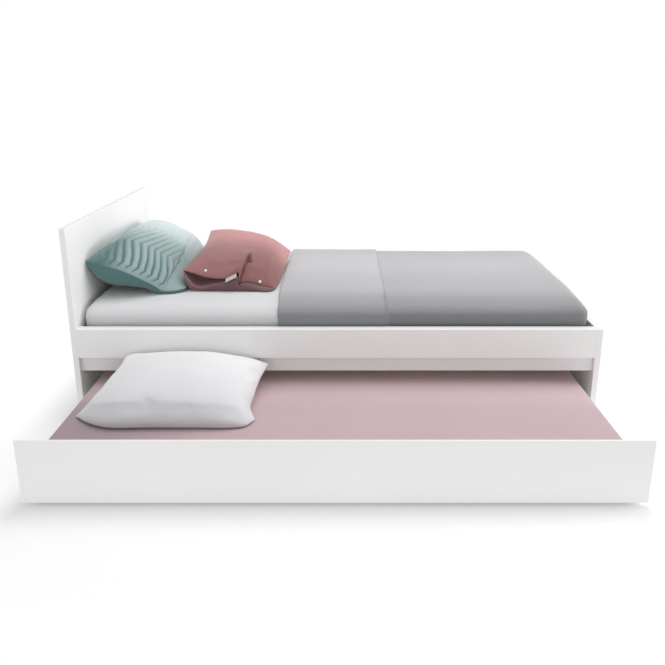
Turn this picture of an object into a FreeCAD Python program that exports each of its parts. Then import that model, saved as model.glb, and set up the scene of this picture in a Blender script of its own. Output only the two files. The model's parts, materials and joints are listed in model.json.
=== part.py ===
import FreeCAD, Part
import math
import os

os.makedirs("parts", exist_ok=True)

# Trundle bed, millimetres.  +X runs from the head to the foot, +Y from the open front to
# the back, +Z up.  The origin is under the middle of the whole outline with the trundle
# part way out, on the floor.

# ---- driving dimensions -------------------------------------------------------------
BED_LENGTH = 2044.0
BED_DEPTH = 980.0
END_PANEL = 22.0              # thickness of the headboard and the footboard
HEADBOARD_TOP = 787.0
RAIL_TOP = 390.0
BOARD = 18.0                  # rails and fascia
BACK_BOARD = 16.0             # thinner board of the back rail
FASCIA_BOTTOM = 273.5
RAIL_BOTTOM = 212.0
GLIDE = 3.0                   # height of the floor glides
EDGE = 0.8                    # rounding of the edge banding
DRAWER_OUT = 514.0            # how far the trundle front stands ahead of the bed

LEDGER_DEEP = 20.0
LEDGER_TALL = 24.0
SLAT_TOP = 302.0
SLAT_THICK = 12.0
SLAT_WIDE = 90.0
SLAT_COUNT = 12
SLAT_PITCH = 165.0
STRAP = (20.0, 1.2)           # width and thickness of the webbing under the slats

MATTRESS_LENGTH = 1980.0
MATTRESS_WIDE = 900.0
MATTRESS_TOP = 462.0
MATTRESS_ROUND = 55.0
MATTRESS_GAP = 16.0           # between the front rail and the mattress
SKIN = 0.3                    # air between soft layers
DUVET_SIDE = 5.0
DUVET_TOP = 468.0
DUVET_HEM = 335.0             # lowest point of the hanging edge
DUVET_START = -240.0
FOLD_END = 197.0
FOLD_TOP = 476.0

TRUNDLE_FRONT = (8.0, 12.0, 232.4)      # thickness, bottom, top
TRUNDLE_FRONT_HALF = 994.0
BOX_BOARD = 16.0
BOX_HALF = 972.0              # half the outer length of the trundle box
BOX_BOTTOM = 12.0
INNER_FRONT_TOP = 150.0
BOX_BACK_TOP = 140.0
BOX_SIDE_TOP = 126.0
BASE_TOP = 60.0
BASE_THICK = 8.0
BEARER = (40.0, 30.0)         # width and height
BEARER_PLACES = (-880.0, -440.0, 0.0, 440.0, 880.0)
TRUNDLE_MATTRESS = (1900.0, 900.0, 100.0)

WHEEL_RADIUS = 20.0
WHEEL_WIDE = 16.0
AXLE_RADIUS = 3.0
AXLE_PLAY = 0.05
CASTER_X = 944.0
CASTER_Y = (-640.0, 100.0)
SHEET_STEEL = 2.0

CAM_RADIUS = 7.5
CAM_DEEP = 12.5
CAM_BOLT_RADIUS = 3.5
CAM_SETBACK = 24.0            # from the rail's end to the cam's axis
BOLT_BITE = 11.0              # length of a cam bolt inside an end panel
DOWEL_RADIUS = 4.0
DOWEL_BITE = 12.0
DOWEL_LENGTH = 35.0
SCREW_RADIUS = 2.0
HEAD_RADIUS = 4.0
HEAD_TALL = 2.4

# ---- places worked out from them ----------------------------------------------------
HALF_LENGTH = BED_LENGTH / 2
INNER_HALF = HALF_LENGTH - END_PANEL
TOTAL_DEPTH = BED_DEPTH + DRAWER_OUT
TRUNDLE_FACE = -TOTAL_DEPTH / 2
BED_FRONT = TRUNDLE_FACE + DRAWER_OUT
BED_BACK = TOTAL_DEPTH / 2
RAIL_FRONT = BED_FRONT + BOARD
RAIL_INNER = RAIL_FRONT + BOARD
BACK_INNER = BED_BACK - BACK_BOARD
MATTRESS_NEAR = RAIL_INNER + MATTRESS_GAP
MATTRESS_FAR = MATTRESS_NEAR + MATTRESS_WIDE
SLAT_BOTTOM = SLAT_TOP - SLAT_THICK
FRONT_BACK_FACE = TRUNDLE_FACE + TRUNDLE_FRONT[0]
BOX_INNER_FRONT = FRONT_BACK_FACE + BOX_BOARD
TRUNDLE_MATTRESS_NEAR = BOX_INNER_FRONT + 1.0
BOX_BACK_FACE = TRUNDLE_MATTRESS_NEAR + TRUNDLE_MATTRESS[1] + 2.0
BASE_BOTTOM = BASE_TOP - BASE_THICK

X_AXIS = FreeCAD.Vector(1, 0, 0)
Y_AXIS = FreeCAD.Vector(0, 1, 0)
Z_AXIS = FreeCAD.Vector(0, 0, 1)
nodes = {}


def box(x, y, z):
    """A box from three (low, high) pairs."""
    corner = FreeCAD.Vector(x[0], y[0], z[0])
    return Part.makeBox(x[1] - x[0], y[1] - y[0], z[1] - z[0], corner)


def board(x, y, z, rounding=EDGE):
    """A board whose edges carry the small rounding of edge banding."""
    solid = box(x, y, z)
    return solid.makeFillet(rounding, solid.Edges)


def rod(start, direction, radius, length):
    return Part.makeCylinder(radius, length, FreeCAD.Vector(*start), direction)


def screw(head, direction, length, radius=SCREW_RADIUS, head_radius=HEAD_RADIUS):
    """A countersunk screw: its flat head's centre, the way it is driven, its length."""
    start = FreeCAD.Vector(*head)
    cone = Part.makeCone(head_radius, radius, HEAD_TALL, start, direction)
    shank = Part.makeCylinder(radius, length, start, direction)
    return cone.fuse(shank).removeSplitter()


def drill(name, solids):
    """Cut the holes that a group of fasteners or pins fills."""
    nodes[name] = nodes[name].cut(Part.makeCompound(solids))


def rounded_block(x, y, z, side, top, bottom):
    """A mattress-like block: side, top and bottom edge radii."""
    solid = box(x, y, z)
    upright = [e for e in solid.Edges if abs(e.BoundBox.ZLength) > 1.0]
    solid = solid.makeFillet(side, upright)
    upper = [e for e in solid.Edges if e.BoundBox.ZMin > z[1] - 0.1]
    solid = solid.makeFillet(top, upper)
    lower = [e for e in solid.Edges if e.BoundBox.ZMax < z[0] + 0.1]
    return solid.makeFillet(bottom, lower)


def pillow(size, centre, axis, angle):
    """A plump block, turned about an axis through its centre."""
    length, width, thick = size
    solid = box((-length / 2, length / 2), (-width / 2, width / 2), (-thick / 2, thick / 2))
    solid = solid.makeFillet(thick * 0.46, solid.Edges)
    solid.rotate(FreeCAD.Vector(0, 0, 0), axis, angle)
    solid.translate(FreeCAD.Vector(*centre))
    return solid


# ---- bed frame ----------------------------------------------------------------------
def end_panels():
    depth = (BED_FRONT, BED_BACK)
    nodes["headboard"] = board((-HALF_LENGTH, -INNER_HALF), depth, (GLIDE, HEADBOARD_TOP), 1.2)
    nodes["footboard"] = board((INNER_HALF, HALF_LENGTH), depth, (GLIDE, RAIL_TOP), 1.2)
    glides = []
    for x in (-HALF_LENGTH + END_PANEL / 2, HALF_LENGTH - END_PANEL / 2):
        for y in (BED_FRONT + 40.0, BED_BACK - 40.0):
            pad = rod((x, y, 0.0), Z_AXIS, 9.0, GLIDE)
            pin = rod((x, y, GLIDE), Z_AXIS, 1.5, 14.0)
            glides.append(pad.fuse(pin))
    nodes["floor_glides"] = Part.makeCompound(glides)
    drill("headboard", glides[:2])
    drill("footboard", glides[2:])


def rails():
    length = (-INNER_HALF, INNER_HALF)
    nodes["front_fascia"] = board(length, (BED_FRONT, RAIL_FRONT), (FASCIA_BOTTOM, RAIL_TOP))
    nodes["front_side_rail"] = board(length, (RAIL_FRONT, RAIL_INNER), (RAIL_BOTTOM, RAIL_TOP))
    nodes["back_side_rail"] = board(length, (BACK_INNER, BED_BACK), (RAIL_BOTTOM, RAIL_TOP))


def fascia_screws():
    screws = []
    for i in range(8):
        x = -910.0 + 260.0 * i
        screws.append(screw((x, RAIL_INNER, 345.0), -Y_AXIS, 32.0))
    nodes["fascia_screws"] = Part.makeCompound(screws)
    drill("front_fascia", screws)
    drill("front_side_rail", screws)


def corner_joints():
    """Cam bolts, cam locks and dowels between the rails and the end panels."""
    bolts = []
    locks = []
    dowels = []
    fascia_y = (BED_FRONT + RAIL_FRONT) / 2
    rail_y = (RAIL_FRONT + RAIL_INNER) / 2
    back_y = (BACK_INNER + BED_BACK) / 2
    for end in (-1, 1):
        outward = X_AXIS * end
        panel_face = end * INNER_HALF
        for y, cam_face, inward in ((rail_y, RAIL_INNER, -Y_AXIS), (back_y, BACK_INNER, Y_AXIS)):
            for z in (238.0, 364.0):
                cam_x = end * (INNER_HALF - CAM_SETBACK)
                lock = rod((cam_x, cam_face, z), inward, CAM_RADIUS, CAM_DEEP)
                start = (end * (INNER_HALF - CAM_SETBACK - 3.0), y, z)
                bolt = rod(start, outward, CAM_BOLT_RADIUS, CAM_SETBACK + 3.0 + BOLT_BITE)
                locks.append(lock.cut(bolt))
                bolts.append(bolt)
            start = (panel_face - end * (DOWEL_LENGTH - DOWEL_BITE), y, 301.0)
            dowels.append(rod(start, outward, DOWEL_RADIUS, DOWEL_LENGTH))
        for z in (300.0, 364.0):
            start = (panel_face - end * (DOWEL_LENGTH - DOWEL_BITE), fascia_y, z)
            dowels.append(rod(start, outward, DOWEL_RADIUS, DOWEL_LENGTH))
    nodes["cam_bolts"] = Part.makeCompound(bolts)
    nodes["cam_locks"] = Part.makeCompound(locks)
    nodes["rail_dowels"] = Part.makeCompound(dowels)
    for name in ("headboard", "footboard", "front_fascia", "front_side_rail", "back_side_rail"):
        drill(name, bolts + dowels)
    for name in ("front_side_rail", "back_side_rail"):
        drill(name, locks)


def slatted_base():
    length = (-INNER_HALF + 30.0, INNER_HALF - 30.0)
    tall = (SLAT_BOTTOM - LEDGER_TALL, SLAT_BOTTOM)
    nodes["front_ledger"] = board(length, (RAIL_INNER, RAIL_INNER + LEDGER_DEEP), tall)
    nodes["back_ledger"] = board(length, (BACK_INNER - LEDGER_DEEP, BACK_INNER), tall)
    screws = []
    middle = (tall[0] + tall[1]) / 2
    for i in range(6):
        x = -900.0 + 360.0 * i
        screws.append(screw((x, RAIL_INNER + LEDGER_DEEP, middle), -Y_AXIS, 32.0))
        screws.append(screw((x, BACK_INNER - LEDGER_DEEP, middle), Y_AXIS, 32.0))
    nodes["ledger_screws"] = Part.makeCompound(screws)
    for name in ("front_ledger", "back_ledger", "front_side_rail", "back_side_rail"):
        drill(name, screws)
    for i in range(SLAT_COUNT):
        x = (i - (SLAT_COUNT - 1) / 2) * SLAT_PITCH
        across = (x - SLAT_WIDE / 2, x + SLAT_WIDE / 2)
        along = (RAIL_INNER + 1.0, BACK_INNER - 1.0)
        nodes["slat_%02d" % (i + 1)] = board(across, along, (SLAT_BOTTOM, SLAT_TOP))
    straps = []
    reach = (SLAT_COUNT - 1) / 2 * SLAT_PITCH + SLAT_WIDE / 2
    for y in (RAIL_INNER + 250.0, BACK_INNER - 250.0):
        width = (y - STRAP[0] / 2, y + STRAP[0] / 2)
        straps.append(box((-reach, reach), width, (SLAT_BOTTOM - STRAP[1], SLAT_BOTTOM)))
    nodes["slat_webbing"] = Part.makeCompound(straps)


# ---- bedding on the bed -------------------------------------------------------------
def layer(grow, top):
    """The mattress's outline grown sideways by some air or cloth, up to a given top."""
    half = MATTRESS_LENGTH / 2 + grow
    wide = (MATTRESS_NEAR - grow, MATTRESS_FAR + grow)
    return rounded_block((-half, half), wide, (SLAT_TOP, top), 60.0 + grow, MATTRESS_ROUND + grow, 20.0)


def bedding():
    nodes["main_mattress"] = layer(0.0, MATTRESS_TOP)
    hung = box((DUVET_START, HALF_LENGTH), (BED_FRONT, BED_BACK), (DUVET_HEM, HEADBOARD_TOP))
    band = box((DUVET_START, FOLD_END), (BED_FRONT, BED_BACK), (DUVET_HEM + 8.0, HEADBOARD_TOP))
    over_mattress = layer(SKIN, MATTRESS_TOP + SKIN)
    duvet = layer(SKIN + DUVET_SIDE, DUVET_TOP)
    over_duvet = layer(2 * SKIN + DUVET_SIDE, DUVET_TOP + SKIN)
    fold = layer(2 * SKIN + 2 * DUVET_SIDE, FOLD_TOP)
    nodes["duvet"] = duvet.cut(over_mattress).common(hung)
    nodes["duvet_fold"] = fold.cut(over_duvet).common(band)
    nodes["teal_pillow"] = pillow((380.0, 620.0, 100.0), (-800.0, 255.0, 569.5), Y_AXIS, 20.0)
    nodes["pink_pillow"] = pillow((350.0, 470.0, 96.0), (-404.0, 250.0, 549.0), Y_AXIS, 10.0)


def pillow_trim():
    """Two buttons and a blank cloth tag on the pink pillow's open end."""
    buttons = []
    for x, z in ((-505.0, 566.0), (-300.0, 530.0)):
        face = 250.0 - 235.0
        disc = rod((x, face - 0.4, z), -Y_AXIS, 9.0, 3.0)
        buttons.append(disc)
    nodes["pillow_buttons"] = Part.makeCompound(buttons)
    tag = (-425.0, -380.0)
    nodes["pillow_tag"] = box(tag, (250.0 - 237.2, 250.0 - 235.6), (531.0, 567.0))


# ---- trundle ------------------------------------------------------------------------
def trundle_box():
    thick, low, high = TRUNDLE_FRONT
    half = TRUNDLE_FRONT_HALF
    face = (TRUNDLE_FACE, FRONT_BACK_FACE)
    nodes["trundle_front"] = board((-half, half), face, (low, high), 1.0)
    inner = (FRONT_BACK_FACE, BOX_INNER_FRONT)
    back = (BOX_BACK_FACE, BOX_BACK_FACE + BOX_BOARD)
    length = (-BOX_HALF, BOX_HALF)
    nodes["trundle_inner_front"] = board(length, inner, (BOX_BOTTOM, INNER_FRONT_TOP))
    nodes["trundle_back"] = board(length, back, (BOX_BOTTOM, BOX_BACK_TOP))
    span = (BOX_INNER_FRONT, BOX_BACK_FACE)
    tall = (BOX_BOTTOM, BOX_SIDE_TOP)
    nodes["trundle_side_head"] = board((-BOX_HALF, -BOX_HALF + BOX_BOARD), span, tall)
    nodes["trundle_side_foot"] = board((BOX_HALF - BOX_BOARD, BOX_HALF), span, tall)
    for i, x in enumerate(BEARER_PLACES):
        across = (x - BEARER[0] / 2, x + BEARER[0] / 2)
        low_high = (BASE_BOTTOM - BEARER[1], BASE_BOTTOM)
        nodes["trundle_bearer_%d" % (i + 1)] = board(across, span, low_high)
    flat = (BOX_INNER_FRONT + 1.0, BOX_BACK_FACE - 1.0)
    level = (BASE_BOTTOM, BASE_TOP)
    nodes["trundle_base_head"] = board((-950.0, -0.5), flat, level)
    nodes["trundle_base_foot"] = board((0.5, 950.0), flat, level)


def trundle_fasteners():
    corner = []
    middle = BOX_HALF - BOX_BOARD / 2
    for x in (-middle, middle):
        for z in (40.0, 100.0):
            corner.append(screw((x, BOX_BACK_FACE + BOX_BOARD, z), -Y_AXIS, 50.0, 3.0, 5.0))
            corner.append(screw((x, FRONT_BACK_FACE, z), Y_AXIS, 50.0, 3.0, 5.0))
    bearer = []
    z = BASE_BOTTOM - BEARER[1] / 2
    for x in BEARER_PLACES:
        for side in (-11.0, 11.0):
            bearer.append(screw((x + side, FRONT_BACK_FACE, z), Y_AXIS, 45.0))
            bearer.append(screw((x + side, BOX_BACK_FACE + BOX_BOARD, z), -Y_AXIS, 45.0))
    front = []
    for i in range(6):
        x = -900.0 + 360.0 * i
        front.append(screw((x, BOX_INNER_FRONT, 110.0), -Y_AXIS, 20.0))
    nodes["box_corner_screws"] = Part.makeCompound(corner)
    nodes["bearer_screws"] = Part.makeCompound(bearer)
    nodes["front_panel_screws"] = Part.makeCompound(front)
    drill("trundle_front", front)
    drill("trundle_inner_front", corner + bearer + front)
    drill("trundle_back", corner + bearer)
    for name in ("trundle_side_head", "trundle_side_foot"):
        drill(name, corner)
    for i in range(len(BEARER_PLACES)):
        drill("trundle_bearer_%d" % (i + 1), bearer)


def wheel(x, y):
    """A solid wheel with a crowned tread and sunk sides, bored for its axle."""
    half = WHEEL_WIDE / 2
    tread = rod((x - half, y, WHEEL_RADIUS), X_AXIS, WHEEL_RADIUS, WHEEL_WIDE)
    rims = [e for e in tread.Edges if e.BoundBox.XLength < 0.1]
    tread = tread.makeFillet(2.5, rims)
    bore = rod((x - half, y, WHEEL_RADIUS), X_AXIS, AXLE_RADIUS + AXLE_PLAY, WHEEL_WIDE)
    for start, way in ((x - half, X_AXIS), (x + half, -X_AXIS)):
        ring = rod((start, y, WHEEL_RADIUS), way, 14.0, 3.0)
        hub = rod((start, y, WHEEL_RADIUS), way, 6.5, 3.0)
        tread = tread.cut(ring.cut(hub))
    return tread.cut(bore)


def casters():
    axles = []
    screws = []
    number = 0
    gap = WHEEL_WIDE / 2 + 2.0
    for end in (-1, 1):
        outward = X_AXIS * end
        for y in CASTER_Y:
            number += 1
            x = end * CASTER_X
            plate = sorted((x + end * gap, x + end * (gap + SHEET_STEEL)))
            cheek = sorted((x - end * gap, x - end * (gap + SHEET_STEEL)))
            web = (min(plate[0], cheek[0]), max(plate[1], cheek[1]))
            wide = (y - 16.0, y + 16.0)
            bracket = box(plate, (y - 24.0, y + 24.0), (44.0, 118.0))
            bracket = bracket.fuse(box(plate, wide, (13.0, 46.0)))
            bracket = bracket.fuse(box(cheek, wide, (13.0, 46.0)))
            bracket = bracket.fuse(box(web, wide, (44.0, 46.0))).removeSplitter()
            start = x - end * (gap + SHEET_STEEL + 1.5)
            axle = rod((start, y, WHEEL_RADIUS), outward, AXLE_RADIUS, 2 * (gap + SHEET_STEEL) + 1.5)
            held = []
            for dy in (-15.0, 15.0):
                for z in (70.0, 106.0):
                    head = x + end * (gap + SHEET_STEEL - HEAD_TALL)
                    held.append(screw((head, y + dy, z), outward, 14.0))
            nodes["caster_bracket_%d" % number] = bracket.cut(Part.makeCompound([axle] + held))
            nodes["caster_wheel_%d" % number] = wheel(x, y)
            axles.append(axle)
            screws.extend(held)
    nodes["caster_axles"] = Part.makeCompound(axles)
    nodes["caster_screws"] = Part.makeCompound(screws)
    drill("trundle_side_head", screws)
    drill("trundle_side_foot", screws)


def trundle_bedding():
    length, wide, thick = TRUNDLE_MATTRESS
    depth = (TRUNDLE_MATTRESS_NEAR, TRUNDLE_MATTRESS_NEAR + wide)
    top = BASE_TOP + thick
    nodes["trundle_mattress"] = rounded_block((-length / 2, length / 2), depth, (BASE_TOP, top), 30.0, 14.0, 8.0)
    nodes["white_pillow"] = pillow((600.0, 320.0, 90.0), (-600.0, -396.0, 236.5), X_AXIS, 15.0)


end_panels()
rails()
fascia_screws()
corner_joints()
slatted_base()
bedding()
pillow_trim()
trundle_box()
trundle_fasteners()
casters()
trundle_bedding()

for name, shape in nodes.items():
    shape.exportStep(os.path.join("parts", name + ".step"))
    print(name, len(shape.Solids), shape.isValid(), round(shape.Volume / 1000.0, 1))
print(len(nodes), "nodes")
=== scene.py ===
import json
import math

import bmesh
import bpy
import numpy as np
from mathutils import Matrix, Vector, noise


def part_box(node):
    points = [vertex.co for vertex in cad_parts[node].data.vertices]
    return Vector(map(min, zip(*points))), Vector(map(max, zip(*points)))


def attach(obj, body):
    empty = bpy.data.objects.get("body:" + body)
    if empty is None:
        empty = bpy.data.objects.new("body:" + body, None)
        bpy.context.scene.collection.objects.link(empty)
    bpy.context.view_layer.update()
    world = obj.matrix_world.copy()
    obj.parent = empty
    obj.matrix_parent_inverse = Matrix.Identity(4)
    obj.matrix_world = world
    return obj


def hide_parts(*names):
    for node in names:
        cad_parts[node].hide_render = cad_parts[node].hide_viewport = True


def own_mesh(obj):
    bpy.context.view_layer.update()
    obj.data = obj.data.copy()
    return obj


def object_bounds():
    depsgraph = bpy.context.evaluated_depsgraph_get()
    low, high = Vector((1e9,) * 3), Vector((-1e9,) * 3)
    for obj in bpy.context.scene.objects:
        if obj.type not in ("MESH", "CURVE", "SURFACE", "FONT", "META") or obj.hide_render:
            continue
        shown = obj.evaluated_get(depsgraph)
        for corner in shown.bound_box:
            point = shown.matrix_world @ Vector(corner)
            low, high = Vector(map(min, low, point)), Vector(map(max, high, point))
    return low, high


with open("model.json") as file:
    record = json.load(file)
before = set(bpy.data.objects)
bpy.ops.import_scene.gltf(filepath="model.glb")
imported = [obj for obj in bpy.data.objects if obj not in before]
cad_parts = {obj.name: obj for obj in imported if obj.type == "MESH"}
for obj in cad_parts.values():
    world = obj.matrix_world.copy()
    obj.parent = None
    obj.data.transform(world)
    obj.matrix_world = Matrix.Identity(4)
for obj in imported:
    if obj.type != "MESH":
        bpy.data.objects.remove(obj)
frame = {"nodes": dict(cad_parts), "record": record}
cad_low, cad_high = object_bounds()
nodes = frame["nodes"]

# ---- places, all from the frame -----------------------------------------------------
BED_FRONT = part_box("front_fascia")[0][1]
HEAD_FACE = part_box("headboard")[1][0]
BED_LOW, BED_HIGH = (np.array(c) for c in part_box("main_mattress"))
TRUNDLE_LOW, TRUNDLE_HIGH = (np.array(c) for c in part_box("trundle_mattress"))
DUVET_LOW, DUVET_HIGH = (np.array(c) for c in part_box("duvet"))
FOLD_LOW, FOLD_HIGH = (np.array(c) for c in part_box("duvet_fold"))
BED_TOP = BED_HIGH[2]
TRUNDLE_TOP = TRUNDLE_HIGH[2]


# ---- materials ----------------------------------------------------------------------
class Paint:
    """A node material with a few helpers for procedural surfaces."""

    def __init__(self, name, colour, roughness=0.5, **inputs):
        self.material = bpy.data.materials.new(name)
        self.material.use_nodes = True
        self.tree = self.material.node_tree
        self.shader = self.tree.nodes["Principled BSDF"]
        self.shader.inputs["Base Color"].default_value = (*colour, 1.0)
        self.shader.inputs["Roughness"].default_value = roughness
        for key, value in inputs.items():
            self.shader.inputs[key.replace("_", " ")].default_value = value
        self.colour = colour
        self.height = None

    def add(self, kind, **values):
        node = self.tree.nodes.new(kind)
        for key, value in values.items():
            if key in node.inputs:
                node.inputs[key].default_value = value
            else:
                setattr(node, key, value)
        return node

    def join(self, source, target):
        self.tree.links.new(source, target)

    def place(self, scale=(1.0, 1.0, 1.0), attribute=None):
        """Object coordinates, or a stored cloth coordinate, stretched by scale."""
        mapping = self.add("ShaderNodeMapping")
        mapping.inputs["Scale"].default_value = scale
        if attribute:
            source = self.add("ShaderNodeAttribute", attribute_name=attribute)
            self.join(source.outputs["Vector"], mapping.inputs["Vector"])
        else:
            source = self.add("ShaderNodeTexCoord")
            self.join(source.outputs["Object"], mapping.inputs["Vector"])
        return mapping.outputs["Vector"]

    def noise(self, scale, detail, stretch=(1.0, 1.0, 1.0), attribute=None):
        node = self.add("ShaderNodeTexNoise", Scale=scale, Detail=detail)
        self.join(self.place(stretch, attribute), node.inputs["Vector"])
        return node.outputs["Fac"]

    def wave(self, scale, direction, stretch=(1.0, 1.0, 1.0), distortion=0.0, attribute=None):
        node = self.add("ShaderNodeTexWave", Scale=scale, Distortion=distortion)
        node.bands_direction = direction
        self.join(self.place(stretch, attribute), node.inputs["Vector"])
        return node.outputs["Fac"]

    def math(self, operation, a, b):
        node = self.add("ShaderNodeMath", operation=operation)
        for socket, value in zip(node.inputs, (a, b)):
            if isinstance(value, (int, float)):
                socket.default_value = value
            else:
                self.join(value, socket)
        return node.outputs[0]

    def ramp(self, source, low, high):
        node = self.add("ShaderNodeMapRange")
        node.inputs["To Min"].default_value = low
        node.inputs["To Max"].default_value = high
        self.join(source, node.inputs["Value"])
        return node.outputs["Result"]

    def tint(self, source, dark, light, low=0.3, high=0.7):
        """Blend the base colour between two shades of itself by a texture."""
        ramp = self.add("ShaderNodeValToRGB")
        ends = ramp.color_ramp.elements
        ends[0].position = low
        ends[1].position = high
        ends[0].color = (*[c * dark for c in self.colour], 1.0)
        ends[1].color = (*[min(1.0, c * light) for c in self.colour], 1.0)
        self.join(source, ramp.inputs["Fac"])
        self.join(ramp.outputs["Color"], self.shader.inputs["Base Color"])
        return self

    def rough(self, source, low, high):
        self.join(self.ramp(source, low, high), self.shader.inputs["Roughness"])
        return self

    def bump(self, source, distance, strength=1.0):
        node = self.add("ShaderNodeBump", Strength=strength, Distance=distance)
        self.join(source, node.inputs["Height"])
        if self.height is not None:
            self.join(self.height, node.inputs["Normal"])
        self.height = node.outputs["Normal"]
        self.join(self.height, self.shader.inputs["Normal"])
        return self

    def paint_shade(self, dark):
        """Paint shade: multiply the colour by dark, as far as the painted-shade amount stored on the cloth
        as "deep" says.
        """
        source = self.shader.inputs["Base Color"].links[0].from_socket
        mix = self.add("ShaderNodeMix", data_type="RGBA", blend_type="MULTIPLY")
        amount = self.add("ShaderNodeAttribute", attribute_name="deep")
        self.join(amount.outputs["Fac"], mix.inputs[0])
        self.join(source, mix.inputs[6])
        mix.inputs[7].default_value = (*dark, 1.0)
        self.join(mix.outputs[2], self.shader.inputs["Base Color"])
        return self


def board_paint(name, colour, roughness=0.38):
    """White melamine: a faint orange peel, a little unevenness in gloss and tone."""
    paint = Paint(name, colour, roughness)
    paint.tint(paint.noise(2.3, 4.0), 0.985, 1.01)
    paint.rough(paint.noise(9.0, 4.0), roughness - 0.05, roughness + 0.09)
    paint.bump(paint.noise(520.0, 2.0), 0.00006, 0.5)
    paint.bump(paint.noise(14.0, 2.0), 0.0004, 0.12)
    return paint.material


def timber_paint(name, colour, along):
    """Planed softwood with growth rings stretched along one axis."""
    stretch = [26.0, 26.0, 26.0]
    stretch["XYZ".index(along)] = 1.6
    paint = Paint(name, colour, 0.6)
    rings = paint.wave(1.4, "X" if along != "X" else "Y", stretch, 6.0)
    fine = paint.noise(7.0, 6.0, stretch)
    grain = paint.math("ADD", paint.math("MULTIPLY", rings, 0.55), paint.math("MULTIPLY", fine, 0.45))
    paint.tint(grain, 0.74, 1.1)
    paint.rough(fine, 0.5, 0.72)
    paint.bump(fine, 0.0004, 0.5)
    return paint.material


def metal_paint(name, colour, roughness, metallic=1.0):
    """Plated or painted metal with a fine grain."""
    paint = Paint(name, colour, roughness, Metallic=metallic)
    paint.tint(paint.noise(60.0, 4.0), 0.86, 1.06)
    paint.rough(paint.noise(140.0, 4.0), roughness - 0.08, roughness + 0.14)
    paint.bump(paint.noise(900.0, 2.0), 0.00005, 0.5)
    return paint.material


def plastic_paint(name, colour, roughness):
    """Moulded plastic, faintly mottled."""
    paint = Paint(name, colour, roughness)
    paint.tint(paint.noise(45.0, 3.0), 0.93, 1.05)
    paint.rough(paint.noise(80.0, 3.0), roughness - 0.06, roughness + 0.1)
    paint.bump(paint.noise(1400.0, 2.0), 0.00006, 0.6)
    return paint.material


def cloth_paint(name, colour, thread=0.0011, attribute=None):
    """Plain-woven cotton: crossed threads, slubs, slight tone changes and a soft sheen."""
    paint = Paint(name, colour, 0.92)
    paint.shader.inputs["Sheen Weight"].default_value = 0.2
    paint.shader.inputs["Sheen Roughness"].default_value = 0.6
    paint.shader.inputs["Specular IOR Level"].default_value = 0.18
    close = 0.5 / (thread * math.pi)
    warp = paint.wave(close, "X", attribute=attribute)
    weft = paint.wave(close, "Y", attribute=attribute)
    weave = paint.math("ADD", paint.math("MULTIPLY", warp, 0.5), paint.math("MULTIPLY", weft, 0.5))
    slubs = paint.noise(95.0, 3.0, (1.0, 6.0, 1.0), attribute=attribute)
    blotch = paint.noise(5.0, 5.0, attribute=attribute)
    tone = paint.math("ADD", paint.math("MULTIPLY", blotch, 0.6), paint.math("MULTIPLY", slubs, 0.4))
    paint.tint(tone, 0.965, 1.03)
    paint.rough(slubs, 0.86, 0.97)
    paint.bump(weave, 0.00025, 0.35)
    paint.bump(slubs, 0.0004, 0.15)
    return paint


PAINTS = {
    "white_board": board_paint("white_melamine", (0.845, 0.84, 0.835)),
    # a darker copy of the white board for the side rails: painted shade under the fascia
    "white_board_shaded": board_paint("white_melamine_shaded", (0.76, 0.75, 0.75)),
    "hardboard": board_paint("white_hardboard", (0.78, 0.775, 0.76), 0.5),
    "pine": timber_paint("planed_pine", (0.66, 0.47, 0.27), "Y"),
    "pine_long": timber_paint("planed_pine_long", (0.66, 0.47, 0.27), "X"),
    "zinc": metal_paint("zinc_plate", (0.62, 0.62, 0.64), 0.34),
    "sheet_steel": metal_paint("grey_steel", (0.40, 0.41, 0.43), 0.42, 0.8),
    "grey_nylon": plastic_paint("grey_nylon_tread", (0.10, 0.105, 0.115), 0.5),
    "white_glide": plastic_paint("white_glide_plastic", (0.74, 0.74, 0.72), 0.42),
    "webbing": cloth_paint("webbing_tape", (0.62, 0.60, 0.55), 0.0018).material,
    "white_button": plastic_paint("button_shell", (0.85, 0.83, 0.79), 0.2),
}
WHITE_SHEET = cloth_paint("white_sheet_cotton", (0.63, 0.635, 0.645))
# The darker colours given to the cloths below are painted shade, laid on each cloth by its stored amount.
GREY_DUVET = cloth_paint("grey_duvet_cotton", (0.485, 0.485, 0.498)).paint_shade((0.42, 0.425, 0.44))
GREY_LINING = cloth_paint("grey_duvet_reverse", (0.535, 0.535, 0.55)).paint_shade((0.42, 0.425, 0.44))
WHITE_COVER = cloth_paint("white_pillow_cotton", (0.76, 0.76, 0.77)).paint_shade((0.86, 0.86, 0.88))
ROSE_SHEET = cloth_paint("rose_sheet_jersey", (0.72, 0.54, 0.567), 0.0013).paint_shade((0.45, 0.45, 0.46))
TEAL_COVER = cloth_paint("teal_cover_cotton", (0.58, 0.66, 0.66), 0.0013, attribute="cloth")
TEAL_COVER.paint_shade((0.14, 0.26, 0.25))
PINK_COVER = cloth_paint("pink_cover_cotton", (0.55, 0.275, 0.27), 0.0012, attribute="cloth")
PINK_COVER.paint_shade((0.20, 0.11, 0.11))
# the inside of the pink case: the cover's colour darkened, painted shade inside its open end
PINK_INSIDE_SHADED = cloth_paint("pink_inside_shaded_cotton", (0.24, 0.125, 0.13), 0.0012).paint_shade((0.62, 0.62, 0.66))
TAG_CLOTH = cloth_paint("blank_tag_tape", (0.62, 0.57, 0.55), 0.0009)


def paint_frame():
    """Give every carried-over node the material of its record slot."""
    slots = {s["node"]: s["material_slot"] for s in frame["record"]["subparts"]}
    for name, piece in nodes.items():
        slot = slots[name]
        if slot == "pine" and "ledger" in name:
            slot = "pine_long"
        # the side rails take the darker copy of the white board: painted shade under the fascia
        if slot == "white_board" and name.endswith("side_rail"):
            slot = "white_board_shaded"
        if slot in PAINTS:
            for place in piece.material_slots:
                place.material = PAINTS[slot]


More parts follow.
